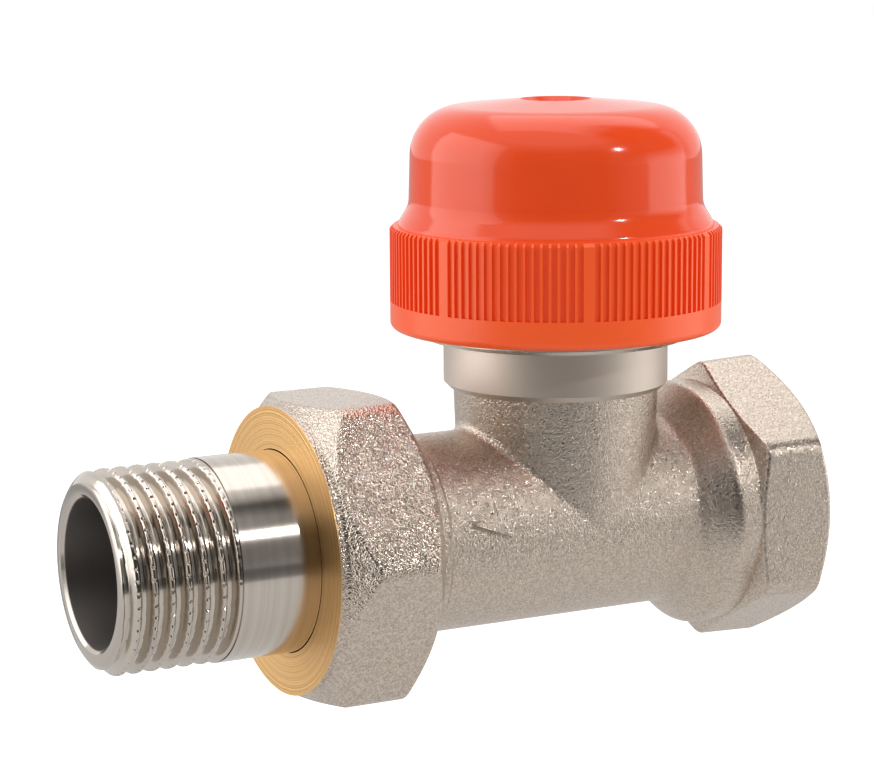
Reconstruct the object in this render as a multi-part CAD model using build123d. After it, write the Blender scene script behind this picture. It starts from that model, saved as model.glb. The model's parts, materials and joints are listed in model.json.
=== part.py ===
from build123d import *
import math
import os

# Straight radiator control valve with a union tail and a screw-on protective cap, in millimetres.
# The pieces are drawn about the point where the pipe axis (X) meets the stem axis (Z) and then
# moved so that the origin is the centre of the inlet mouth, with the tail towards -X and +Z up.

# Fits and clearances
running_fit = 0.05
thread_gap = 0.05
seal_gap = 0.03
assembly_gap = 0.4

# Water way and body walls
bore_radius = 7.75
body_wall = 2.82
outlet_reach = 27.6
inlet_reach = 26.7

# Tower, with the machined collar on its top
tower_inset = 0.07
tower_draft = 0.55
tower_wall = 2.1
tower_height = 14.7
collar_step = 1.05
collar_height = 5.4
collar_chamfer = 0.6
crease_fillet = 0.9

# Inlet socket, female Rp 1/2
inlet_thread_radius = 9.3155
inlet_thread_length = 13.0
inlet_chamfer = 0.4
inlet_taper_length = 1.6
socket_across_flats = 28.1
socket_draft_angle = 2.0
socket_corner_radius = 2.2
socket_edge_round = 0.4
socket_hex_length = 8.7
socket_hexagon_turn = 30
socket_end_chamfer = 1.6
socket_end_inset = 0.25
socket_shoulder_run = 0.9
socket_round_length = 2.7
socket_round_inset = 0.5
socket_round_edge = 1.4
socket_flare_length = 3.2
socket_flare_foot = 1.5

# Seat inside the body
seat_bore_radius = 5.2
seat_lip_width = 1.0
seat_lip_height = 0.6
seat_height = 2.6
seat_plate = 2.6
partition_margin = 0.8
partition_wall = 3.6

# Union, with a G 3/4 nut thread drawn at its mean radius
union_thread_radius = 12.64
rim_step = 1.03
rim_length = 2.6
rim_edge = 0.5
rim_gap = 0.15
nut_across_flats = 31.0
nut_corner_radius = 2.4
nut_edge_round = 0.5
nut_length = 12.0
nut_hexagon_turn = -2.5
nut_lip = 2.9
nut_face_radius = 15.1
nut_face_collar = 0.9
nut_back_inset = 1.0
nut_back_chamfer = 2.4
nut_mouth_chamfer = 0.5
nut_barrel_gap = 0.45

# Tail, male G 1/2
tail_length = 26.4
tail_thread_radius = 10.4775
tail_thread_length = 12.4
tail_lead_length = 2.1
tail_lead_drop = 1.3
tail_runout_width = 0.8
tail_runout_depth = 0.5
tail_mouth_chamfer = 0.35
barrel_step = 0.1
tail_flange = 2.6
flange_clearance = 0.65
nose_length = 4.2
nose_groove_wall = 0.7
nose_groove_depth = 1.1
nose_groove_width = 1.7
nose_chamfer = 0.4

# Bonnet screwed into the tower, with the M30 x 1.5 head ring at its mean thread radius
insert_step = 0.8
bonnet_depth = 9.1
bonnet_nose = 1.7
bonnet_bore_radius = 5.55
bonnet_seal_depth = 2.1
bonnet_seal_step = 0.7
bonnet_seal_groove = 0.95
head_thread_radius = 14.51
head_ring_height = 7.0
head_ring_chamfer = 0.4
head_recess_depth = 2.5
head_recess_rim = 2.6

# Spring guide in the foot of the bonnet
guide_ledge = 0.85
guide_thickness = 1.6

# Gland on top of the bonnet
gland_ledge = 0.95
gland_depth = 4.0
gland_hex_height = 3.2
gland_groove_depth = 0.9
gland_groove_width = 1.3
packing_width = 1.55
packing_floor = 1.1
packing_seal_width = 1.7
gland_guide_height = 2.9

# Stem
stroke = 2.25
closing_gap = 0.05
pin_radius = 1.75
pin_foot_radius = 2.8
pin_foot = 1.0
pin_margin = 1.4
pin_tip_chamfer = 0.5
foot_gap = 0.2
spindle_radius = 2.3
spindle_tip_radius = 1.5
spindle_tip_reach = 0.2
spindle_head = 1.4
clip_thickness = 0.6
clip_groove = 0.6
clip_rim = 1.3
clip_opening = 2.0
washer_thickness = 0.6
washer_rim = 2.3
spring_wire = 0.9
spring_turns = 5
spring_clearance = 0.8
disc_thickness = 2.0
holder_floor = 2.3
holder_rim = 0.7
holder_rim_drop = 1.3
disc_washer_rim = 2.7
disc_washer_thickness = 0.4
disc_nut_across_flats = 5.5
disc_nut_height = 1.5

# Protective cap
cap_lift = 1.0
cap_height = 24.4
skirt_wall = 3.29
skirt_height = 11.0
skirt_band = 3.0
skirt_edge = 0.7
skirt_ledge = 0.88
rib_groups = 7
grooves_per_group = 17
groove_width = 0.62
groove_depth = 0.35
rib_turn = 11.7
view_turn = -30.6
dome_inset = 2.05
dome_draft = 0.3
dome_wall = 2.0
shoulder_height = 2.2
shoulder_foot = 0.25
shoulder_foot_round = 0.8
shoulder_round = 2.5
crown_corner = 5.3
crown_rise = 1.15
dimple_radius = 3.85
dimple_depth = 0.7
boss_radius = 3.4

# Radii that follow from the walls
run_radius = bore_radius + body_wall
tower_base_radius = run_radius - tower_inset
tower_top_radius = tower_base_radius + tower_draft
collar_radius = tower_top_radius + collar_step
chamber_radius = tower_base_radius - tower_wall
insert_radius = chamber_radius + insert_step
seal_bore_radius = insert_radius + bonnet_seal_step
rim_radius = run_radius + rim_step
socket_round_radius = socket_across_flats / 2 - socket_round_inset
seat_lip_radius = seat_bore_radius + seat_lip_width
nose_groove_radius = bore_radius + nose_groove_wall
nose_radius = nose_groove_radius + nose_groove_depth
barrel_radius = tail_thread_radius + barrel_step
flange_radius = union_thread_radius - flange_clearance
skirt_radius = head_thread_radius + skirt_wall
dome_radius = skirt_radius - dome_inset

# Places along the pipe axis, from the stem axis
tail_end_x = -(outlet_reach + tail_length)
nut_face_x = -(outlet_reach + tail_flange + nut_lip)
nut_back_x = nut_face_x + nut_length
rim_x = nut_back_x + rim_gap
hex_x = inlet_reach - socket_hex_length
round_x = hex_x - socket_round_length
flare_x = round_x - socket_flare_length
inlet_floor_x = inlet_reach - inlet_thread_length
partition_x = -(seat_lip_radius + partition_margin)
outlet_floor_x = partition_x - partition_wall

# Heights along the stem axis, from the pipe axis
seat_plate_top = seat_height - seat_lip_height
seat_plate_foot = seat_plate_top - seat_plate
collar_top = tower_height + collar_height
bonnet_foot = collar_top - bonnet_depth
bonnet_top = collar_top + head_ring_height
guide_top = bonnet_foot + guide_thickness
gland_foot = bonnet_top - gland_depth
gland_top = bonnet_top + gland_hex_height
disc_foot = seat_height + stroke + closing_gap
disc_top = disc_foot + disc_thickness
holder_top = disc_top + holder_floor
disc_nut_top = disc_foot - disc_washer_thickness
disc_nut_foot = disc_nut_top - disc_nut_height
spindle_foot = disc_nut_foot - spindle_tip_reach
spindle_top = gland_foot - foot_gap - pin_foot
clip_top = spindle_top - spindle_head
clip_foot = clip_top - clip_thickness
washer_foot = clip_foot - washer_thickness
pin_top = gland_top + stroke + pin_margin
cap_foot = collar_top + cap_lift
cap_top = cap_foot + cap_height
skirt_top = cap_foot + skirt_height


def turned_x(points):
    """Solid of revolution about the pipe axis from (x, radius) points."""
    return revolve(make_face(Polyline(*points, close=True)), Axis.X)


def turned_z(points):
    """Solid of revolution about the stem axis from (radius, z) points."""
    profile = [(radius, 0, z) for radius, z in points]
    return revolve(make_face(Polyline(*profile, close=True)), Axis.Z)


def tube_x(outer, inner, start, end):
    return turned_x([(start, inner), (end, inner), (end, outer), (start, outer)])


def tube_z(outer, inner, start, end):
    return turned_z([(inner, start), (outer, start), (outer, end), (inner, end)])


def rod_x(radius, start, end):
    return turned_x([(start, 0), (end, 0), (end, radius), (start, radius)])


def rod_z(radius, start, end):
    return turned_z([(0, start), (radius, start), (radius, end), (0, end)])


def seal_ring(inner, outer):
    """O-ring about Z that fills the room between two radii, less the gap on each side."""
    section = (outer - inner) / 2 - seal_gap
    return Torus((outer + inner) / 2, section)


def hexagon(across_flats, corner_radius, turn):
    flat = RegularPolygon(across_flats / 2, 6, major_radius=False, rotation=turn)
    return fillet(flat.vertices(), corner_radius)


def hexagon_x(across_flats, corner_radius, turn, x):
    """Hexagon square to the pipe axis at x."""
    plane = Plane((x, 0, 0), x_dir=(0, 1, 0), z_dir=(1, 0, 0))
    return plane * hexagon(across_flats, corner_radius, turn)


def curved_edges(blank, start, end):
    """Edges that the turning of a hexagon blank leaves, apart from those on its two end faces."""
    return [
        edge
        for edge in blank.edges()
        if edge.geom_type != GeomType.LINE and start < round(edge.center().X, 6) < end
    ]


def body_outside():
    """Forged run, tower, inlet socket and union spigot, before any boring."""
    run = rod_x(run_radius, rim_x, flare_x)
    tower = turned_z([(0, 0), (tower_base_radius, 0), (tower_top_radius, tower_height), (0, tower_height)])
    forging = run + tower
    creases = [
        edge
        for edge in forging.edges().filter_by(GeomType.BSPLINE)
        if edge.bounding_box().size.Z > tower_base_radius / 2
    ]
    forging = fillet(creases, crease_fillet)
    collar = turned_z(
        [
            (0, tower_height),
            (collar_radius - collar_chamfer, tower_height),
            (collar_radius, tower_height + collar_chamfer),
            (collar_radius, collar_top),
            (0, collar_top),
        ]
    )
    rim = turned_x(
        [
            (rim_x, 0),
            (rim_x, rim_radius - rim_edge),
            (rim_x + rim_edge, rim_radius),
            (rim_x + rim_length - rim_edge, rim_radius),
            (rim_x + rim_length, rim_radius - rim_edge),
            (rim_x + rim_length, 0),
        ]
    )
    spigot = rod_x(union_thread_radius - thread_gap, -outlet_reach, rim_x)
    return forging + collar + rim + spigot + inlet_socket()


def inlet_socket():
    """Round shoulder and hexagon of the inlet end."""
    profile = FilletPolyline(
        (flare_x - socket_flare_foot, 0),
        (flare_x - socket_flare_foot, run_radius),
        (flare_x, run_radius),
        (round_x, socket_round_radius),
        (hex_x, socket_round_radius),
        (hex_x, 0),
        radius=[0, 0, socket_flare_foot, socket_round_edge, 0, 0],
        close=True,
    )
    shoulder = revolve(make_face(profile), Axis.X)
    corner = socket_across_flats / math.sqrt(3)
    envelope = turned_x(
        [
            (hex_x, 0),
            (hex_x, socket_round_radius),
            (hex_x + socket_shoulder_run, corner),
            (inlet_reach - socket_end_chamfer, corner),
            (inlet_reach, socket_across_flats / 2 - socket_end_inset),
            (inlet_reach, 0),
        ]
    )
    draft = socket_hex_length * math.tan(math.radians(socket_draft_angle))
    root = hexagon_x(socket_across_flats - 2 * draft, socket_corner_radius, socket_hexagon_turn, hex_x)
    mouth = hexagon_x(socket_across_flats, socket_corner_radius, socket_hexagon_turn, inlet_reach)
    prism = loft([root, mouth], ruled=True)
    blank = prism & envelope
    return shoulder + fillet(curved_edges(blank, hex_x, inlet_reach), socket_edge_round)


def water_way():
    """Everything bored or cored out of the body."""
    inlet = turned_x(
        [
            (inlet_floor_x - inlet_taper_length, 0),
            (inlet_floor_x - inlet_taper_length, bore_radius),
            (inlet_floor_x, inlet_thread_radius),
            (inlet_reach - inlet_chamfer, inlet_thread_radius),
            (inlet_reach, inlet_thread_radius + inlet_chamfer),
            (inlet_reach, 0),
        ]
    )
    width = 2 * bore_radius
    below = Pos(0, 0, seat_plate_foot - width) * Box(4 * width, width, 2 * width)
    above = Pos(0, 0, seat_plate_top + width) * Box(4 * width, width, 2 * width)
    rising = rod_x(bore_radius, partition_x, inlet_floor_x) & below
    seat = rod_z(seat_bore_radius, seat_plate_foot - seat_plate, seat_height)
    lip = tube_z(seat_lip_radius, seat_bore_radius, seat_plate_top, seat_height)
    chamber = rod_z(chamber_radius, seat_plate_top, collar_top) - lip
    falling = rod_x(bore_radius, outlet_floor_x, 0) & above
    outlet = rod_x(bore_radius, -outlet_reach, outlet_floor_x)
    mouth = rod_x(nose_radius + running_fit, -outlet_reach, -outlet_reach + nose_length + assembly_gap)
    insert = rod_z(insert_radius, bonnet_foot + bonnet_nose - assembly_gap, collar_top)
    seal_bore = rod_z(seal_bore_radius, collar_top - bonnet_seal_depth, collar_top)
    return inlet + rising + seat + chamber + (falling - lip) + outlet + mouth + insert + seal_bore


def valve_body():
    return body_outside() - water_way()


def union_nut():
    """Hexagon nut, tightened with its flats nearly level, and a lip that draws the tail's flange in."""
    corner = nut_across_flats / math.sqrt(3)
    rise = corner - nut_face_radius
    back_radius = nut_across_flats / 2 - nut_back_inset
    envelope = turned_x(
        [
            (nut_face_x, 0),
            (nut_face_x, nut_face_radius),
            (nut_face_x + nut_face_collar, nut_face_radius),
            (nut_face_x + nut_face_collar + rise, corner),
            (nut_back_x - nut_back_chamfer, corner),
            (nut_back_x, back_radius),
            (nut_back_x, 0),
        ]
    )
    face = hexagon_x(nut_across_flats, nut_corner_radius, nut_hexagon_turn, nut_face_x)
    prism = extrude(face, nut_length)
    blank = prism & envelope
    blank = fillet(curved_edges(blank, nut_face_x, nut_back_x), nut_edge_round)
    thread = union_thread_radius + thread_gap
    bore = turned_x(
        [
            (nut_face_x, 0),
            (nut_face_x, barrel_radius + nut_barrel_gap),
            (nut_face_x + nut_lip, barrel_radius + nut_barrel_gap),
            (nut_face_x + nut_lip, thread),
            (nut_back_x - nut_mouth_chamfer, thread),
            (nut_back_x, thread + nut_mouth_chamfer),
            (nut_back_x, 0),
        ]
    )
    return blank - bore


def union_tail():
    """Tail tube: threaded end with a run-out groove, plain barrel, flange behind the nut's lip and sealing nose."""
    thread_end = tail_end_x + tail_thread_length
    barrel_x = thread_end + tail_runout_width
    runout_radius = tail_thread_radius - tail_runout_depth
    flange_x = -outlet_reach - tail_flange
    nose_end = -outlet_reach + nose_length
    groove_x = -outlet_reach + (nose_length - nose_groove_width) / 2
    tube = turned_x(
        [
            (tail_end_x, bore_radius + tail_mouth_chamfer),
            (tail_end_x, tail_thread_radius - tail_lead_drop),
            (tail_end_x + tail_lead_length, tail_thread_radius),
            (thread_end, tail_thread_radius),
            (thread_end, runout_radius),
            (barrel_x, runout_radius),
            (barrel_x, barrel_radius),
            (flange_x, barrel_radius),
            (flange_x, flange_radius),
            (-outlet_reach, flange_radius),
            (-outlet_reach, nose_radius),
            (nose_end - nose_chamfer, nose_radius),
            (nose_end, nose_radius - nose_chamfer),
            (nose_end, bore_radius),
            (tail_end_x + tail_mouth_chamfer, bore_radius),
        ]
    )
    groove = tube_x(nose_radius + seal_gap, nose_groove_radius, groove_x, groove_x + nose_groove_width)
    return tube - groove


def tail_o_ring():
    ring = seal_ring(nose_groove_radius, nose_radius + running_fit)
    return Pos(-outlet_reach + nose_length / 2, 0, 0) * Rot(0, 90, 0) * ring


def bonnet():
    """Turned insert: threaded shank in the tower, head ring above it, spring chamber inside."""
    shank = insert_radius - thread_gap
    nose = chamber_radius - assembly_gap
    ring = head_thread_radius - thread_gap
    groove = insert_radius - bonnet_seal_groove
    groove_foot = collar_top - bonnet_seal_depth
    recess_radius = ring - head_recess_rim
    neck_radius = bonnet_bore_radius + 2 * gland_ledge
    guide_radius = bonnet_bore_radius + guide_ledge
    return turned_z(
        [
            (guide_radius, bonnet_foot),
            (nose, bonnet_foot),
            (nose, bonnet_foot + bonnet_nose),
            (shank, bonnet_foot + bonnet_nose),
            (shank, groove_foot),
            (groove, groove_foot),
            (groove, collar_top),
            (ring - head_ring_chamfer, collar_top),
            (ring, collar_top + head_ring_chamfer),
            (ring, bonnet_top - head_ring_chamfer),
            (ring - head_ring_chamfer, bonnet_top),
            (recess_radius, bonnet_top),
            (recess_radius, bonnet_top - head_recess_depth),
            (neck_radius, bonnet_top - head_recess_depth),
            (neck_radius, bonnet_top),
            (bonnet_bore_radius, bonnet_top),
            (bonnet_bore_radius, guide_top),
            (guide_radius, guide_top),
        ]
    )


def bonnet_o_ring():
    ring = seal_ring(insert_radius - bonnet_seal_groove, seal_bore_radius)
    return Pos(0, 0, collar_top - bonnet_seal_depth / 2) * ring


def spring_guide():
    """Bush pressed into the bonnet's foot, which guides the spindle and carries the spring."""
    outer = bonnet_bore_radius + guide_ledge - seal_gap
    return tube_z(outer, spindle_radius + running_fit, bonnet_foot, guide_top)


def gland_nut():
    """Hexagon-headed gland with the packing room for the push pin."""
    shank = rod_z(bonnet_bore_radius - thread_gap, gland_foot, bonnet_top)
    head_flats = 2 * (bonnet_bore_radius + gland_ledge)
    head = Pos(0, 0, bonnet_top) * extrude(
        RegularPolygon(head_flats / 2, 6, major_radius=False), gland_hex_height
    )
    groove_radius = bonnet_bore_radius - gland_groove_depth
    groove_foot = bonnet_top - 2 * gland_groove_width
    groove = tube_z(bonnet_bore_radius, groove_radius, groove_foot, groove_foot + gland_groove_width)
    packing = rod_z(pin_radius + packing_width, gland_foot + packing_floor, gland_top)
    passage = rod_z(pin_radius + running_fit, gland_foot, gland_top)
    return shank + head - groove - packing - passage


def gland_o_ring():
    ring = seal_ring(bonnet_bore_radius - gland_groove_depth, bonnet_bore_radius)
    return Pos(0, 0, bonnet_top - 1.5 * gland_groove_width) * ring


def stem_o_ring():
    ring = seal_ring(pin_radius, pin_radius + packing_width)
    return Pos(0, 0, gland_foot + packing_floor + packing_seal_width / 2) * ring


def gland_guide():
    """Plain bush above the packing, which keeps the push pin upright."""
    foot = gland_foot + packing_floor + packing_seal_width
    outer = pin_radius + packing_width - seal_gap
    return tube_z(outer, pin_radius + running_fit, foot, foot + gland_guide_height)


def push_pin():
    return turned_z(
        [
            (0, spindle_top),
            (pin_foot_radius, spindle_top),
            (pin_foot_radius, spindle_top + pin_foot),
            (pin_radius, spindle_top + pin_foot),
            (pin_radius, pin_top - pin_tip_chamfer),
            (pin_radius - pin_tip_chamfer, pin_top),
            (0, pin_top),
        ]
    )


def spindle():
    shaft = rod_z(spindle_radius, holder_top, spindle_top)
    tip = rod_z(spindle_tip_radius, spindle_foot, holder_top)
    groove = tube_z(2 * spindle_radius, spindle_radius - clip_groove, clip_foot, clip_top)
    return shaft + tip - groove


def spindle_clip():
    """Open ring in the spindle's groove, which takes the spring's push."""
    inner = spindle_radius - clip_groove + running_fit
    ring = tube_z(spindle_radius + clip_rim, inner, clip_foot, clip_top)
    slot = Pos(spindle_radius + clip_rim, 0, (clip_foot + clip_top) / 2) * Box(
        2 * (spindle_radius + clip_rim), clip_opening, 2 * clip_thickness
    )
    return ring - slot


def spring_washer():
    return tube_z(spindle_radius + washer_rim, spindle_radius + running_fit, washer_foot, clip_foot)


def return_spring():
    """Round-wire compression spring between the guide and the spindle's washer."""
    wire_radius = spring_wire / 2
    coil_radius = spindle_radius + spring_clearance + wire_radius
    start = guide_top + wire_radius
    height = washer_foot - wire_radius - start
    path = Helix(height / spring_turns, height, coil_radius, center=(0, 0, start))
    section = Plane(origin=path @ 0, z_dir=path % 0) * Circle(wire_radius)
    return sweep(section, path=path, is_frenet=True)


def disc_holder():
    """Cup that carries the seal disc on the spindle's shoulder."""
    inner = seat_lip_radius + running_fit
    return turned_z(
        [
            (spindle_tip_radius + running_fit, disc_top),
            (inner, disc_top),
            (inner, disc_top - holder_rim_drop),
            (inner + holder_rim, disc_top - holder_rim_drop),
            (inner + holder_rim, holder_top),
            (spindle_tip_radius + running_fit, holder_top),
        ]
    )


def seal_disc():
    return tube_z(seat_lip_radius, spindle_tip_radius + running_fit, disc_foot, disc_top)


def disc_washer():
    outer = spindle_tip_radius + disc_washer_rim
    return tube_z(outer, spindle_tip_radius + running_fit, disc_nut_top, disc_foot)


def disc_nut():
    blank = Pos(0, 0, disc_nut_foot) * extrude(
        RegularPolygon(disc_nut_across_flats / 2, 6, major_radius=False), disc_nut_height
    )
    return blank - rod_z(spindle_tip_radius + running_fit, disc_nut_foot, disc_nut_top)


def cap_outline():
    """Outer half-section of the cap, from the axis at the top down to the skirt's foot."""
    wall_top = dome_radius - dome_draft
    shoulder_top = skirt_top + shoulder_height
    corner_z = cap_top - crown_rise
    crown = FilletPolyline(
        (dimple_radius, 0, cap_top),
        (wall_top, 0, corner_z),
        (dome_radius, 0, shoulder_top),
        (skirt_radius - skirt_ledge, 0, skirt_top + shoulder_foot),
        (skirt_radius - skirt_ledge, 0, skirt_top),
        radius=[crown_corner, shoulder_round, shoulder_foot_round],
    )
    skirt = FilletPolyline(
        (skirt_radius - skirt_ledge, 0, skirt_top),
        (skirt_radius - groove_depth, 0, skirt_top),
        (skirt_radius, 0, skirt_top - groove_depth),
        (skirt_radius, 0, cap_foot),
        (0, 0, cap_foot),
        radius=[0, 0, skirt_edge],
    )
    dimple = Polyline(
        (0, 0, cap_foot),
        (0, 0, cap_top - dimple_depth),
        (dimple_radius - dimple_depth, 0, cap_top - dimple_depth),
        (dimple_radius, 0, cap_top),
    )
    return revolve(make_face(crown + skirt + dimple), Axis.Z)


def cap_hollow():
    """Inside of the cap: thread bore for the head ring, dome space above, boss left on the axis."""
    thread = head_thread_radius + thread_gap
    inner = dome_radius - dome_wall
    ceiling = cap_top - crown_rise - dome_wall
    profile = FilletPolyline(
        (0, 0, cap_foot),
        (thread, 0, cap_foot),
        (thread, 0, skirt_top - dome_wall),
        (inner, 0, skirt_top),
        (inner - dome_draft, 0, ceiling),
        (0, 0, ceiling),
        radius=[0, 0, 0, 0, crown_corner - dome_wall, 0],
        close=True,
    )
    boss = rod_z(boss_radius, pin_top, ceiling)
    return revolve(make_face(profile), Axis.Z) - boss


def cap_grooves():
    """Grip grooves in groups, with one place left plain between groups."""
    places = grooves_per_group + 1
    pitch = 360 / (rib_groups * places)
    height = skirt_top - cap_foot - skirt_band
    cutter = Pos(skirt_radius, 0, skirt_top - height / 2) * Box(2 * groove_depth, groove_width, height)
    front = view_turn - 90 + rib_turn
    return [
        Rot(0, 0, front + (group * places + place) * pitch) * cutter
        for group in range(rib_groups)
        for place in range(1, places)
    ]


def protective_cap():
    return cap_outline() - cap_hollow() - cap_grooves()


PIECES = [
    valve_body,
    bonnet,
    bonnet_o_ring,
    spring_guide,
    gland_nut,
    gland_o_ring,
    stem_o_ring,
    gland_guide,
    push_pin,
    spindle,
    spindle_clip,
    spring_washer,
    return_spring,
    disc_holder,
    seal_disc,
    disc_washer,
    disc_nut,
    protective_cap,
    union_nut,
    union_tail,
    tail_o_ring,
]

os.makedirs("parts", exist_ok=True)
for piece in PIECES:
    export_step(Pos(-inlet_reach, 0, 0) * piece(), f"parts/{piece.__name__}.step")
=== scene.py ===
import json
import math

import bmesh
import bpy
from mathutils import Matrix, Vector


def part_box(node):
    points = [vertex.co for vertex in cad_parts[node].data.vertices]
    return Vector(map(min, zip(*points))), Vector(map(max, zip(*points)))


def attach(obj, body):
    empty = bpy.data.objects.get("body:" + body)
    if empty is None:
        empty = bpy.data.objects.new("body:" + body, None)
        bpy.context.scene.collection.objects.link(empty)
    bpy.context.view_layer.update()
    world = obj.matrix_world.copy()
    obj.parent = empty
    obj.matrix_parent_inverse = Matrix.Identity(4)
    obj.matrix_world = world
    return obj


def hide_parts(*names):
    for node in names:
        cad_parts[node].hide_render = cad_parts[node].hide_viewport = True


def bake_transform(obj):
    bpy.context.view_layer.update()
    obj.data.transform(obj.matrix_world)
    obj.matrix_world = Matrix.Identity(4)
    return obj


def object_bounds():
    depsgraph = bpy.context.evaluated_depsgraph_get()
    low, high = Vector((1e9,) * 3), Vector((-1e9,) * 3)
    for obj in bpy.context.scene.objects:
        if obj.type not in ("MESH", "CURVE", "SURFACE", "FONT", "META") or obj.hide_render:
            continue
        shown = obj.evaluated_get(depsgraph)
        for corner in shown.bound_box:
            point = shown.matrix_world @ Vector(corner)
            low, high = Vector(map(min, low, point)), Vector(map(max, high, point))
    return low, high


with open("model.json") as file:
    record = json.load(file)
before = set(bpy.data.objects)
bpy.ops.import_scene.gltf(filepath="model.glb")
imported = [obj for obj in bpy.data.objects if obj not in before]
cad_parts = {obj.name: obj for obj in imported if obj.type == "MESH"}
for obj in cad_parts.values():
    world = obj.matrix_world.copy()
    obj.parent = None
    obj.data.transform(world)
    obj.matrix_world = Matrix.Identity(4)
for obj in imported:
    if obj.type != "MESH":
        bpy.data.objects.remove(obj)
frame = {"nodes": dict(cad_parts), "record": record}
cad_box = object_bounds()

# Straight radiator control valve: finish of every piece, threads, flow arrow, studio and camera.
# Sizes are written in millimetres and turned into metres by MM, and angles are in degrees.
MM = 0.001

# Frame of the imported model
NODES = frame["nodes"]
CAP_LOW, CAP_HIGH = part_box("protective_cap")
TAIL_LOW, TAIL_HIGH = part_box("union_tail")
NUT_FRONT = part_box("union_nut")[0].x
STEM_X = (CAP_LOW.x + CAP_HIGH.x) / 2
PIVOT = Vector((STEM_X, 0, 0))

# Camera: the photograph's frame, and where the crossing of pipe and stem axes lies in it
IMAGE_WIDTH = 874
IMAGE_HEIGHT = 778
PIVOT_PIXEL_X = 555.177
PIVOT_PIXEL_Y = 516.22
FOCAL_PIXELS = 2741.258
SENSOR_MM = 36
CAMERA_AZIMUTH = -29.999
CAMERA_ELEVATION = 12.802
CAMERA_ROLL = 0.38
CAMERA_DISTANCE = 300
CLIP_START = 10

# Tail tube with its G 1/2 thread
THREAD_RADIUS = 10.4775
THREAD_DEPTH = 1.162
THREAD_PITCH = 1.814
THREAD_LENGTH = 12.3
THREAD_STEP = 0.085
THREAD_FADE = 0.5
THREAD_SHIFT = 0.25
ROOT_END = 0.2
CREST_START = 0.92
LEAD_LENGTH = 1.5
LEAD_DROP = 1.3
RUNOUT_WIDTH = 0.1
RUNOUT_DEPTH = 0.12
BARREL_RADIUS = 10.5775
BORE_RADIUS = 7.75
MOUTH_CHAMFER = 0.35
FLANGE_LENGTH = 2.6
NOSE_LENGTH = 4.2
NOSE_RADIUS = 9.55
NOSE_CHAMFER = 0.4
GROOVE_RADIUS = 8.45
GROOVE_WIDTH = 1.7
NOTCHES = 52
NOTCH_DEPTH = 0.13
NOTCH_COLUMNS = 1
NOTCHED_HEIGHT = 0.9
COLUMNS_PER_NOTCH = 8
SHARP_ANGLE = 38

# Female thread in the inlet socket
INLET_RADIUS = 9.3155
INLET_LENGTH = 13.0
INLET_CHAMFER = 0.4
INLET_STEP = 0.14
INLET_COLUMNS = 160
INLET_WALL = 0.15
RIDGE_HEIGHT = 0.45

# Raised flow arrow on the run
RUN_RADIUS = 10.57
ARROW_CENTRE_X = -12.1
ARROW_LENGTH = 7.4
ARROW_HEAD_LENGTH = 4.3
ARROW_HEAD_WIDTH = 3.3
ARROW_SHAFT_WIDTH = 1.5
ARROW_RELIEF = 0.6
ARROW_SLOPE = 0.12
ARROW_ANGLE = 15.0
ARROW_SLICE = 0.3

# Places where a finish changes
COLLAR_FOOT = 14.7
COLLAR_RADIUS = 12.1
COLLAR_EDGE = 0.05
SOCKET_START = -12.5
SOCKET_BLEND = 1.5
NUT_BORE_RADIUS = 11.1
LIP_GAP = 0.1
FACE_DEPTH = 0.06
BORE_EDGE_START = 0.02
BORE_EDGE_END = 0.1
SKIRT_HEIGHT = 11.0
SKIRT_BLEND = 0.4

# Noise values between which most of a noise lies, and the height of a skin without pits
NOISE_LOW = 0.3
NOISE_HIGH = 0.7
LEVEL = 0.5

# Blasted nickel: size and depth of the pits, the grain heights over which the colour goes from painted
# shade in the pits to painted light on the peaks, and roughness
PIT_LOW = 0.34
PIT_HIGH = 0.66
FINE_PIT_SHARE = 0.35
ROUGH_PATCH = 0.5
ROUGH_SPREAD = 0.08
BODY_PIT = 0.29
BODY_ROUGH = 0.26
BODY_PIT_DEPTH = 0.125
SOCKET_PIT_DEPTH = 0.075
NUT_PIT = 0.34
NUT_ROUGH = 0.2
NUT_PIT_DEPTH = 0.15

# Turned surfaces: spacing and depth of the marks, and roughness
COLLAR_MARK = 0.06
COLLAR_MARK_DEPTH = 0.002
COLLAR_ROUGH = 0.48
FACE_MARK = 0.2
FACE_MARK_SHARE = 0.3
FACE_ROUGH = 0.4
TAIL_MARK = 0.1
TAIL_MARK_DEPTH = 0.003
TAIL_STREAK = 0.7
TAIL_ROUGH = 0.15
TAIL_STRETCH = 0.45
QUARTER_TURN = 0.25
BORE_ROUGH = 0.5

# Orange moulding
FLOW_GRAIN = 6.0
PEEL_GRAIN = 1.2
PEEL_DEPTH = 0.004
CAP_IOR = 1.5
DOME_ROUGH = 0.12
SKIRT_ROUGH = 0.3

# Studio
WORLD_FILL = 0.62
FLOOR_DROP = 90
FLOOR_SIZE = 6000
FLOOR_GLOW = 0.72
FLOOR_MIRROR_GLOW = 0.05
CARD_STEPS = 16
CARD_EDGE = 4
MATT = 0.9


def colour(red, green, blue):
    return (red, green, blue, 1.0)


# Blasted nickel plate: the peaks' colour is painted light and the pits' colour is painted shade.
BLAST_PAINTED_PEAK_LIGHT = colour(0.675, 0.575, 0.485)
BLAST_PAINTED_PIT_SHADE = colour(0.48, 0.402, 0.337)
TURNED_NICKEL = colour(0.645, 0.56, 0.485)
TURNED_NICKEL_DARK = colour(0.62, 0.59, 0.54)
TAIL_LIGHT = colour(0.6, 0.54, 0.475)
TAIL_DARK = colour(0.52, 0.465, 0.41)
# Painted shade: the inside of the tail's bore is coloured dark for the shade in it.
BORE_PAINTED_SHADE = colour(0.3, 0.27, 0.25)
RAW_BRASS = colour(0.74, 0.48, 0.21)
RAW_BRASS_DARK = colour(0.62, 0.38, 0.14)
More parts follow.
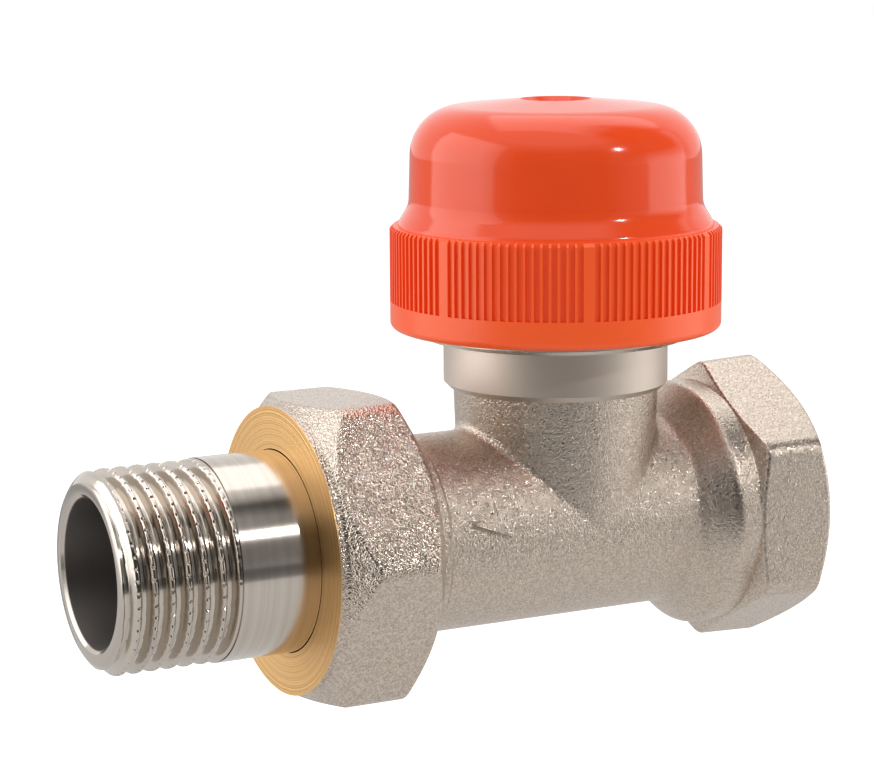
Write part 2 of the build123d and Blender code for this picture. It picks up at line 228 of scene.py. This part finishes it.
# Partly painted light: the nut face's turned brass is coloured lighter than the other raw brass; the tone
# between the turning marks is its own.
PAINTED_LIT_FACE_BRASS = colour(0.88, 0.55, 0.23)
PAINTED_LIT_FACE_BRASS_DARK = colour(0.66, 0.38, 0.14)
STEEL_LIGHT = colour(0.68, 0.68, 0.69)
STEEL_DARK = colour(0.55, 0.55, 0.56)
RUBBER_LIGHT = colour(0.04, 0.04, 0.04)
RUBBER_DARK = colour(0.018, 0.018, 0.018)
BEARING_LIGHT = colour(0.84, 0.84, 0.82)
BEARING_DARK = colour(0.76, 0.76, 0.73)
DOME_LIGHT = colour(0.83, 0.076, 0.015)
DOME_DARK = colour(0.79, 0.066, 0.012)
# Painted light: the skirt is the same orange moulding, coloured lighter than the dome.
PAINTED_LIT_SKIRT_LIGHT = colour(0.98, 0.114, 0.018)
PAINTED_LIT_SKIRT_DARK = colour(0.95, 0.1, 0.014)
FLOOR_TONE = colour(0.6, 0.6, 0.6)
CARD_TONE = colour(0.03, 0.03, 0.03)
WHITE = colour(1, 1, 1)


def direction(azimuth, elevation):
    """Unit vector towards an azimuth and an elevation, with azimuth 0 on the -Y side."""
    turn = math.radians(azimuth)
    rise = math.radians(elevation)
    return Vector((math.sin(turn) * math.cos(rise), -math.cos(turn) * math.cos(rise), math.sin(rise)))


def make_camera():
    """Camera at the photograph's place, turned so that the pivot falls on its own pixel."""
    back = direction(CAMERA_AZIMUTH, CAMERA_ELEVATION)
    roll = -math.radians(CAMERA_ROLL)
    sight = Vector(
        (
            (PIVOT_PIXEL_X - IMAGE_WIDTH / 2) / FOCAL_PIXELS,
            (IMAGE_HEIGHT / 2 - PIVOT_PIXEL_Y) / FOCAL_PIXELS,
            -1,
        )
    )
    sight = Matrix.Rotation(roll, 3, "Z") @ sight.normalized()
    ahead = -sight.z
    tilt = math.asin(-back.z / math.hypot(sight.y, ahead)) - math.atan2(sight.y, ahead)
    level = ahead * math.cos(tilt) - sight.y * math.sin(tilt)
    heading = math.atan2(-back.y, -back.x) - math.atan2(level, sight.x)
    turned = (
        Matrix.Rotation(heading, 4, "Z")
        @ Matrix.Rotation(math.pi / 2 + tilt, 4, "X")
        @ Matrix.Rotation(roll, 4, "Z")
    )
    lens = bpy.data.cameras.new("camera")
    lens.sensor_fit = "HORIZONTAL"
    lens.sensor_width = SENSOR_MM
    lens.lens = FOCAL_PIXELS * SENSOR_MM / IMAGE_WIDTH
    lens.clip_start = CLIP_START * MM
    camera = bpy.data.objects.new("camera", lens)
    camera.matrix_world = Matrix.Translation(PIVOT + CAMERA_DISTANCE * MM * back) @ turned
    bpy.context.collection.objects.link(camera)
    bpy.context.scene.camera = camera


class Finish:
    """One procedural material, with short ways to add nodes to it."""

    def __init__(self, name):
        self.material = bpy.data.materials.new(name)
        self.material.use_nodes = True
        self.tree = self.material.node_tree
        self.surface = self.tree.nodes["Principled BSDF"]
        self.place = self.tree.nodes.new("ShaderNodeTexCoord").outputs["Object"]
        self.axes = self.add("ShaderNodeSeparateXYZ", {"Vector": self.place}).outputs

    def put(self, socket, value):
        if isinstance(value, bpy.types.NodeSocket):
            self.tree.links.new(value, socket)
        else:
            socket.default_value = value

    def add(self, kind, inputs, **settings):
        node = self.tree.nodes.new(kind)
        for name, value in settings.items():
            setattr(node, name, value)
        for name, value in inputs.items():
            self.put(node.inputs[name], value)
        return node

    def set(self, **values):
        """Values of the main shader, by its socket names with _ for a space."""
        for name, value in values.items():
            self.put(self.surface.inputs[name.replace("_", " ")], value)

    def math(self, operation, first, second):
        node = self.add("ShaderNodeMath", {}, operation=operation)
        self.put(node.inputs[0], first)
        self.put(node.inputs[1], second)
        return node.outputs[0]

    def noise(self, grain, detail=2.0):
        """Noise whose grain is about that many millimetres."""
        inputs = {"Vector": self.place, "Scale": 1 / (grain * MM), "Detail": detail}
        return self.add("ShaderNodeTexNoise", inputs).outputs["Fac"]

    def lines(self, value, grain, detail=3.0):
        """Noise along one measure alone, such as turning marks along an axis."""
        inputs = {"W": value, "Scale": 1 / (grain * MM), "Detail": detail}
        return self.add("ShaderNodeTexNoise", inputs, noise_dimensions="1D").outputs["Fac"]

    def span(self, value, start, end, low=0.0, high=1.0):
        """Smooth change from low to high as value goes from start to end."""
        inputs = {"Value": value, "From Min": start, "From Max": end, "To Min": low, "To Max": high}
        node = self.add("ShaderNodeMapRange", inputs, interpolation_type="SMOOTHSTEP")
        return node.outputs["Result"]

    def mix(self, share, first, second):
        """Colour between two colours."""
        node = self.add("ShaderNodeMix", {}, data_type="RGBA")
        self.put(node.inputs[0], share)
        self.put(node.inputs[6], first)
        self.put(node.inputs[7], second)
        return node.outputs[2]

    def blend(self, share, first, second):
        """Number between two numbers."""
        node = self.add("ShaderNodeMix", {}, data_type="FLOAT")
        self.put(node.inputs[0], share)
        self.put(node.inputs[2], first)
        self.put(node.inputs[3], second)
        return node.outputs[0]

    def bump(self, height, depth, normal=None):
        """Normal of a skin whose height goes from 0 to 1 over that many millimetres."""
        inputs = {"Height": height, "Distance": depth * MM, "Strength": 1.0}
        if normal:
            inputs["Normal"] = normal
        return self.add("ShaderNodeBump", inputs).outputs["Normal"]

    def radius(self, across, along):
        """Distance from an axis, from the two coordinates square to it."""
        first = self.math("MULTIPLY", across, across)
        second = self.math("MULTIPLY", along, along)
        return self.math("POWER", self.math("ADD", first, second), 0.5)


def blasted_nickel(finish, pit, smooth):
    """Colour, roughness and height of nickel plate on a blasted forging with pits of that size; the colour
    has painted shade in the pits and painted light on the peaks.
    """
    coarse = finish.noise(pit, detail=1.0)
    fine = finish.noise(pit / 2, detail=0.0)
    grain = finish.blend(FINE_PIT_SHARE, coarse, fine)
    # Painted shade and light: the pits are coloured darker and the peaks lighter, by grain height.
    tone = finish.mix(finish.span(grain, PIT_LOW, PIT_HIGH), BLAST_PAINTED_PIT_SHADE, BLAST_PAINTED_PEAK_LIGHT)
    patches = finish.noise(ROUGH_PATCH)
    rough = finish.span(patches, NOISE_LOW, NOISE_HIGH, smooth, smooth + ROUGH_SPREAD)
    return tone, rough, grain


def body_finish():
    """Blasted forging with a turned collar at the top of the tower and a smoother socket."""
    finish = Finish("body_nickel")
    tone, rough, grain = blasted_nickel(finish, BODY_PIT, BODY_ROUGH)
    along = finish.axes["X"]
    height = finish.axes["Z"]
    edge = COLLAR_EDGE * MM
    collar_side = STEM_X + COLLAR_RADIUS * MM
    above = finish.span(height, COLLAR_FOOT * MM - edge, COLLAR_FOOT * MM + edge)
    inside = finish.span(along, collar_side + edge, collar_side + 2 * edge, 1.0, 0.0)
    turned = finish.math("MULTIPLY", above, inside)
    marks = finish.lines(height, COLLAR_MARK)
    socket = finish.span(along, (SOCKET_START - SOCKET_BLEND) * MM, SOCKET_START * MM)
    depth = finish.blend(socket, BODY_PIT_DEPTH, SOCKET_PIT_DEPTH)
    skin = finish.math("MULTIPLY", finish.blend(turned, grain, LEVEL), depth)
    normal = finish.bump(skin, 1.0)
    normal = finish.bump(marks, COLLAR_MARK_DEPTH, normal)
    finish.set(Metallic=1.0, Normal=normal)
    # tone holds the painted shade in the pits and the painted light on the peaks.
    finish.set(Base_Color=finish.mix(turned, tone, TURNED_NICKEL))
    finish.set(Roughness=finish.blend(turned, rough, COLLAR_ROUGH))
    return finish.material


def nut_finish():
    """Blasted nut with a turned, unplated brass face round the tail, whose brass is painted lighter than
    the other raw brass, as painted light.
    """
    finish = Finish("nut_nickel")
    tone, rough, grain = blasted_nickel(finish, NUT_PIT, NUT_ROUGH)
    across = finish.radius(finish.axes["Y"], finish.axes["Z"])
    face_edge = FACE_DEPTH * MM
    face = finish.span(finish.axes["X"], NUT_FRONT + face_edge, NUT_FRONT + 2 * face_edge, 1.0, 0.0)
    lip = finish.span(across, NUT_BORE_RADIUS * MM, (NUT_BORE_RADIUS + FACE_DEPTH) * MM, 1.0, 0.0)
    bare = finish.math("MAXIMUM", face, lip)
    marks = finish.lines(across, FACE_MARK, detail=4.0)
    # The face's brass colour is partly painted light.
    brass = finish.mix(finish.span(marks, NOISE_LOW, NOISE_HIGH), PAINTED_LIT_FACE_BRASS_DARK, PAINTED_LIT_FACE_BRASS)
    skin = finish.blend(bare, grain, finish.math("MULTIPLY", marks, FACE_MARK_SHARE))
    finish.set(Metallic=1.0, Normal=finish.bump(skin, NUT_PIT_DEPTH))
    # tone holds the painted shade in the pits and the painted light on the peaks.
    finish.set(Base_Color=finish.mix(bare, tone, brass))
    finish.set(Roughness=finish.blend(bare, rough, FACE_ROUGH))
    return finish.material


def tail_finish():
    """Bright plated tail with fine turning marks, and a rougher bore whose dark colour is painted shade.
    """
    finish = Finish("tail_nickel")
    along = finish.axes["X"]
    across = finish.radius(finish.axes["Y"], finish.axes["Z"])
    bore_start = (BORE_RADIUS + BORE_EDGE_START) * MM
    bore_end = (BORE_RADIUS + BORE_EDGE_END) * MM
    bore = finish.span(across, bore_start, bore_end, 1.0, 0.0)
    marks = finish.lines(along, TAIL_MARK)
    streaks = finish.lines(along, TAIL_STREAK, detail=4.0)
    tone = finish.mix(finish.span(streaks, NOISE_LOW, NOISE_HIGH), TAIL_DARK, TAIL_LIGHT)
    circle = finish.add("ShaderNodeTangent", {}, direction_type="RADIAL", axis="X").outputs["Tangent"]
    finish.set(Anisotropic=TAIL_STRETCH, Anisotropic_Rotation=QUARTER_TURN, Tangent=circle)
    finish.set(Metallic=1.0, Normal=finish.bump(marks, TAIL_MARK_DEPTH))
    # Inside the bore the colour is painted shade.
    finish.set(Base_Color=finish.mix(bore, tone, BORE_PAINTED_SHADE))
    finish.set(Roughness=finish.blend(bore, TAIL_ROUGH, BORE_ROUGH))
    return finish.material


def turned_metal(name, dark, light, patch, mark, roughness, depth, detail=2.0):
    """Metal turned about the stem's axis: tone in patches, and marks that run round."""
    finish = Finish(name)
    marks = finish.lines(finish.axes["Z"], mark)
    finish.set(Metallic=1.0, Base_Color=finish.mix(finish.noise(patch, detail), dark, light))
    finish.set(Roughness=finish.span(marks, NOISE_LOW, NOISE_HIGH, *roughness))
    finish.set(Normal=finish.bump(marks, depth))
    return finish.material


def moulding(name, dark, light, size, roughness, depth, detail=2.0):
    """Moulded rubber or plastic with a fine grain."""
    finish = Finish(name)
    grain = finish.noise(size, detail)
    finish.set(Base_Color=finish.mix(grain, dark, light))
    finish.set(Roughness=finish.span(grain, NOISE_LOW, NOISE_HIGH, *roughness))
    finish.set(Normal=finish.bump(grain, depth))
    return finish.material


def cap_finish():
    """Glossy orange moulding, with a faint flow tone and a slightly duller skirt whose colour is painted
    lighter than the dome's, as painted light.
    """
    finish = Finish("orange_plastic")
    flow = finish.noise(FLOW_GRAIN, detail=3.0)
    skirt_top = CAP_LOW.z + SKIRT_HEIGHT * MM
    skirt = finish.span(finish.axes["Z"], skirt_top, skirt_top + SKIRT_BLEND * MM, 1.0, 0.0)
    dome_tone = finish.mix(flow, DOME_DARK, DOME_LIGHT)
    # The skirt's lighter colour is painted light.
    painted_lit_skirt_tone = finish.mix(flow, PAINTED_LIT_SKIRT_DARK, PAINTED_LIT_SKIRT_LIGHT)
    finish.set(Base_Color=finish.mix(skirt, dome_tone, painted_lit_skirt_tone), IOR=CAP_IOR)
    finish.set(Roughness=finish.blend(skirt, DOME_ROUGH, SKIRT_ROUGH))
    finish.set(Normal=finish.bump(finish.noise(PEEL_GRAIN), PEEL_DEPTH))
    return finish.material


def smooth_unit(value, start, end):
    """Smooth step from 0 at start to 1 at end."""
    share = min(max((value - start) / (end - start), 0), 1)
    return share * share * (3 - 2 * share)


def thread_height(x, turn, start):
    """Share of the thread's depth at a place along the axis and an angle, for a right-hand thread."""
    phase = ((x - start) / THREAD_PITCH - turn - THREAD_SHIFT) % 1
    return smooth_unit(abs(2 * phase - 1), ROOT_END, CREST_START)


def tail_radius(x, turn, column, start, end):
    """Outside of the threaded stretch: lead cone, thread, notched crests and run-out."""
    short = max(0, 1 - (x - start) / LEAD_LENGTH)
    lead = THREAD_RADIUS - LEAD_DROP * short * short
    height = thread_height(x, turn, start)
    fade = smooth_unit(end - x, 0, THREAD_FADE)
    radius = THREAD_RADIUS - THREAD_DEPTH * (1 - height) * fade
    notched = column % COLUMNS_PER_NOTCH < NOTCH_COLUMNS
    if notched and height > NOTCHED_HEIGHT:
        radius -= NOTCH_DEPTH * fade
    return min(lead, radius)


def revolve_rows(name, rows, columns):
    """Closed mesh from rows of (x, radius of each column) that follow one another round a section."""
    mesh = bpy.data.meshes.new(name)
    verts = []
    for x, radii in rows:
        for column in range(columns):
            angle = 2 * math.pi * column / columns
            reach = radii[column] * MM
            verts.append((x * MM, reach * math.cos(angle), reach * math.sin(angle)))
    faces = []
    for row in range(len(rows)):
        near = row * columns
        far = (row + 1) % len(rows) * columns
        for column in range(columns):
            beside = (column + 1) % columns
            faces.append((near + column, far + column, far + beside, near + beside))
    mesh.from_pydata(verts, [], faces)
    tidy = bmesh.new()
    tidy.from_mesh(mesh)
    bmesh.ops.recalc_face_normals(tidy, faces=tidy.faces)
    tidy.to_mesh(mesh)
    tidy.free()
    mesh.shade_smooth()
    mesh.set_sharp_from_angle(angle=math.radians(SHARP_ANGLE))
    piece = bpy.data.objects.new(name, mesh)
    bpy.context.collection.objects.link(piece)
    return piece


def threaded_tail():
    """Tail tube with a true thread, in the place of the plain one."""
    columns = NOTCHES * COLUMNS_PER_NOTCH
    start = TAIL_LOW.x / MM
    thread_end = start + THREAD_LENGTH
    barrel_start = thread_end + RUNOUT_WIDTH
    nose_end = TAIL_HIGH.x / MM
    flange_end = nose_end - NOSE_LENGTH
    flange_start = flange_end - FLANGE_LENGTH
    flange_radius = TAIL_HIGH.z / MM
    groove_start = flange_end + (NOSE_LENGTH - GROOVE_WIDTH) / 2
    groove_end = groove_start + GROOVE_WIDTH
    rows = [(start, [BORE_RADIUS + MOUTH_CHAMFER] * columns)]
    steps = round(THREAD_LENGTH / THREAD_STEP)
    for step in range(steps + 1):
        x = start + THREAD_LENGTH * step / steps
        radii = [tail_radius(x, column / columns, column, start, thread_end) for column in range(columns)]
        rows.append((x, radii))
    plain = [
        (thread_end, THREAD_RADIUS - RUNOUT_DEPTH),
        (barrel_start, THREAD_RADIUS - RUNOUT_DEPTH),
        (barrel_start, BARREL_RADIUS),
        (flange_start, BARREL_RADIUS),
        (flange_start, flange_radius),
        (flange_end, flange_radius),
        (flange_end, NOSE_RADIUS),
        (groove_start, NOSE_RADIUS),
        (groove_start, GROOVE_RADIUS),
        (groove_end, GROOVE_RADIUS),
        (groove_end, NOSE_RADIUS),
        (nose_end - NOSE_CHAMFER, NOSE_RADIUS),
        (nose_end, NOSE_RADIUS - NOSE_CHAMFER),
        (nose_end, BORE_RADIUS),
        (start + MOUTH_CHAMFER, BORE_RADIUS),
    ]
    rows += [(x, [radius] * columns) for x, radius in plain]
    piece = revolve_rows("threaded_tail", rows, columns)
    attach(piece, "tail")
    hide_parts("union_tail")
    return piece


def close_nut():
    """Union nut whose lip closes on the barrel to a hair's breadth, as it looks when tight."""
    mesh = NODES["union_nut"].data.copy()
    mesh.name = "close_nut"
    for vert in mesh.vertices:
        radius = math.hypot(vert.co.y, vert.co.z)
        if radius < NUT_BORE_RADIUS * MM:
            closer = (BARREL_RADIUS + LIP_GAP) * MM / radius
            vert.co.y *= closer
            vert.co.z *= closer
    piece = bpy.data.objects.new("close_nut", mesh)
    bpy.context.collection.objects.link(piece)
    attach(piece, "nut")
    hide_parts("union_nut")
    return piece


def coil_spring():
    """Return spring, copied from the CAD spring with its place baked into the mesh."""
    piece = bpy.data.objects.new("coil_spring", NODES["return_spring"].data.copy())
    bpy.context.collection.objects.link(piece)
    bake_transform(piece)
    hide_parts("return_spring")
    return piece


def inlet_thread():
    """Ridge of the female thread, standing in from the socket's bore."""
    start = -INLET_LENGTH
    end = -INLET_CHAMFER
    steps = round((end - start) / INLET_STEP)
    rows = []
    for step in range(steps + 1):
        x = start + (end - start) * step / steps
        fade = smooth_unit(x - start, 0, THREAD_FADE) * smooth_unit(end - x, 0, THREAD_FADE)
        radii = [
            INLET_RADIUS - RIDGE_HEIGHT * fade * thread_height(x, column / INLET_COLUMNS, start)
            for column in range(INLET_COLUMNS)
        ]
        rows.append((x, radii))
    wall = INLET_RADIUS + INLET_WALL
    rows += [(end, [wall] * INLET_COLUMNS), (start, [wall] * INLET_COLUMNS)]
    piece = revolve_rows("inlet_thread", rows, INLET_COLUMNS)
    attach(piece, "valve")
    return piece


def flow_arrow():
    """Raised arrow on the run that points the way of the flow, towards the tail."""
    tip = -ARROW_LENGTH / 2
    neck = tip + ARROW_HEAD_LENGTH
    half_head = ARROW_HEAD_WIDTH / 2
    half_shaft = ARROW_SHAFT_WIDTH / 2
    outline = [
        (tip, 0),
        (neck, -half_head),
        (neck, -half_shaft),
        (-tip, -half_shaft),
        (-tip, half_shaft),
        (neck, half_shaft),
        (neck, half_head),
    ]
    flat = bmesh.new()
    flat.faces.new([flat.verts.new((x, y, 0)) for x, y in outline])
    slices = math.ceil(half_head / ARROW_SLICE)
    for cut in range(-slices, slices + 1):
        geometry = flat.verts[:] + flat.edges[:] + flat.faces[:]
        bmesh.ops.bisect_plane(flat, geom=geometry, plane_co=(0, cut * ARROW_SLICE, 0), plane_no=(0, 1, 0))
    top = bmesh.ops.extrude_face_region(flat, geom=flat.faces[:])["geom"]
    raised = [item for item in top if isinstance(item, bmesh.types.BMVert)]
    middle = Vector((neck, 0, 0))
    for vert in raised:
        inward = middle - vert.co
        vert.co += inward.normalized() * min(ARROW_SLOPE, inward.length)
        vert.co.z = ARROW_RELIEF
    for vert in flat.verts:
        radius = RUN_RADIUS + (vert.co.z if vert.co.z > 0 else -ARROW_RELIEF)
        angle = math.radians(ARROW_ANGLE) + vert.co.y / RUN_RADIUS
        along = STEM_X / MM + ARROW_CENTRE_X + vert.co.x
        vert.co = Vector((along, -radius * math.cos(angle), radius * math.sin(angle))) * MM
    bmesh.ops.recalc_face_normals(flat, faces=flat.faces)
    mesh = bpy.data.meshes.new("flow_arrow")
    flat.to_mesh(mesh)
    flat.free()
    piece = bpy.data.objects.new("flow_arrow", mesh)
    bpy.context.collection.objects.link(piece)
    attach(piece, "valve")
    return piece


def dress(piece, material):
    piece.data.materials.clear()
    piece.data.materials.append(material)


def slot_finishes():
    """Finish of each material slot whose pieces look alike all over, and of the cap."""
    nickel = turned_metal(
        "turned_nickel",
        TURNED_NICKEL_DARK,
        TURNED_NICKEL,
        patch=2.5,
        mark=0.14,
        roughness=(0.2, 0.32),
        depth=0.015,
    )
    brass = turned_metal(
        "turned_brass",
        RAW_BRASS_DARK,
        RAW_BRASS,
        patch=1.5,
        mark=0.14,
        roughness=(0.22, 0.36),
        depth=0.02,
        detail=3.0,
    )
    steel = turned_metal(
        "ground_steel", STEEL_DARK, STEEL_LIGHT, patch=1.0, mark=0.08, roughness=(0.18, 0.3), depth=0.008
    )
    rubber = moulding(
        "seal_rubber", RUBBER_DARK, RUBBER_LIGHT, size=0.2, roughness=(0.45, 0.6), depth=0.02, detail=3.0
    )
    bearing = moulding(
        "bearing_plastic", BEARING_DARK, BEARING_LIGHT, size=0.3, roughness=(0.4, 0.5), depth=0.01
    )
    return {
        "turned_nickel": nickel,
        "raw_brass": brass,
        "stem_steel": steel,
        "seal_rubber": rubber,
        "white_plastic": bearing,
        "orange_plastic": cap_finish(),
    }


def dress_all():
    """Gives every CAD node and every added piece its finish."""
    finishes = slot_finishes()
    for part in frame["record"]["subparts"]:
        if part["material_slot"] in finishes:
            dress(NODES[part["node"]], finishes[part["material_slot"]])
    body = body_finish()
    dress(NODES["valve_body"], body)
    nut = nut_finish()
    dress(NODES["union_nut"], nut)
    dress(close_nut(), nut)
    tail = tail_finish()
    dress(NODES["union_tail"], tail)
    dress(threaded_tail(), tail)
    dress(coil_spring(), finishes["stem_steel"])
    dress(flow_arrow(), body)
    dress(inlet_thread(), finishes["turned_nickel"])


def soft_box(name, azimuth, elevation, distance, width, height, radiance):
    """Area lamp at an azimuth from the camera's, which faces the pivot and isn't seen by the camera."""
    lamp = bpy.data.lights.new(name, "AREA")
    lamp.shape = "RECTANGLE"
    lamp.size = width * MM
    lamp.size_y = height * MM
    lamp.energy = radiance * math.pi * lamp.size * lamp.size_y
    towards = direction(CAMERA_AZIMUTH + azimuth, elevation)
    box = bpy.data.objects.new(name, lamp)
    box.location = PIVOT + towards * distance * MM
    box.rotation_euler = towards.to_track_quat("Z", "Y").to_euler()
    box.visible_camera = False
    bpy.context.collection.objects.link(box)


def dark_card(name, azimuths, elevations, distance):
    """Curved dark card with soft edges that only reflections see, at azimuths from the camera's."""
    sheet = bmesh.new()
    cover = sheet.verts.layers.float.new("cover")
    rows = []
    for row in range(CARD_STEPS + 1):
        elevation = elevations[0] + (elevations[1] - elevations[0]) * row / CARD_STEPS
        line = []
        for column in range(CARD_STEPS + 1):
            azimuth = azimuths[0] + (azimuths[1] - azimuths[0]) * column / CARD_STEPS
            vert = sheet.verts.new(PIVOT + direction(CAMERA_AZIMUTH + azimuth, elevation) * distance * MM)
            inset = min(row, column, CARD_STEPS - row, CARD_STEPS - column)
            vert[cover] = min(inset / CARD_EDGE, 1)
            line.append(vert)
        rows.append(line)
    for below, above in zip(rows, rows[1:]):
        for column in range(CARD_STEPS):
            sheet.faces.new((below[column], below[column + 1], above[column + 1], above[column]))
    mesh = bpy.data.meshes.new(name)
    sheet.to_mesh(mesh)
    sheet.free()
    card = bpy.data.objects.new(name, mesh)
    finish = Finish(name)
    solid = finish.add("ShaderNodeAttribute", {}, attribute_name="cover").outputs["Fac"]
    finish.set(Base_Color=CARD_TONE, Roughness=MATT, Alpha=solid)
    dress(card, finish.material)
    card.visible_camera = False
    card.visible_diffuse = False
    card.visible_shadow = False
    bpy.context.collection.objects.link(card)


def seen_directly(tree):
    """1 for rays from the camera, from a mirror or through glass, and 0 for diffuse light."""
    path = tree.nodes.new("ShaderNodeLightPath").outputs
    first = tree.nodes.new("ShaderNodeMath")
    first.operation = "MAXIMUM"
    tree.links.new(path["Is Camera Ray"], first.inputs[0])
    tree.links.new(path["Is Glossy Ray"], first.inputs[1])
    both = tree.nodes.new("ShaderNodeMath")
    both.operation = "MAXIMUM"
    tree.links.new(first.outputs[0], both.inputs[0])
    tree.links.new(path["Is Transmission Ray"], both.inputs[1])
    return both.outputs[0]


def make_world():
    """White surround, which lights the object more softly than it looks."""
    world = bpy.data.worlds.new("studio")
    world.use_nodes = True
    tree = world.node_tree
    strength = tree.nodes.new("ShaderNodeMapRange")
    strength.inputs["To Min"].default_value = WORLD_FILL
    tree.links.new(seen_directly(tree), strength.inputs["Value"])
    background = tree.nodes["Background"]
    background.inputs["Color"].default_value = WHITE
    tree.links.new(strength.outputs["Result"], background.inputs["Strength"])
    bpy.context.scene.world = world


def make_floor():
    """Pale floor below the object, which keeps the object's shadow."""
    half = FLOOR_SIZE * MM / 2
    height = cad_box[0].z - FLOOR_DROP * MM
    mesh = bpy.data.meshes.new("floor")
    corners = [(-half, -half, height), (half, -half, height), (half, half, height), (-half, half, height)]
    mesh.from_pydata(corners, [], [(0, 1, 2, 3)])
    floor = bpy.data.objects.new("floor", mesh)
    finish = Finish("floor")
    finish.set(Base_Color=FLOOR_TONE, Roughness=MATT, Specular_IOR_Level=0.0)
    path = finish.add("ShaderNodeLightPath", {}).outputs
    mirrored = finish.math("MAXIMUM", path["Is Glossy Ray"], path["Is Transmission Ray"])
    shown = finish.math("MULTIPLY", path["Is Camera Ray"], FLOOR_GLOW)
    glow = finish.math("ADD", shown, finish.math("MULTIPLY", mirrored, FLOOR_MIRROR_GLOW))
    finish.set(Emission_Color=WHITE, Emission_Strength=glow)
    dress(floor, finish.material)
    bpy.context.collection.objects.link(floor)


def make_studio():
    make_world()
    make_floor()
    soft_box("left_box", azimuth=-80, elevation=12, distance=600, width=760, height=800, radiance=1.6)
    soft_box("right_box", azimuth=98, elevation=14, distance=600, width=500, height=600, radiance=1.4)
    soft_box("top_box", azimuth=160, elevation=72, distance=600, width=600, height=600, radiance=1.0)
    soft_box("key_lamp", azimuth=54, elevation=33, distance=520, width=20, height=20, radiance=400)
    dark_card("front_card", azimuths=(-62, 72), elevations=(-30, 52), distance=420)
    dark_card("side_card", azimuths=(44, 132), elevations=(2, 84), distance=430)


make_camera()
dress_all()
make_studio()
bpy.context.scene.view_settings.view_transform = "Standard"
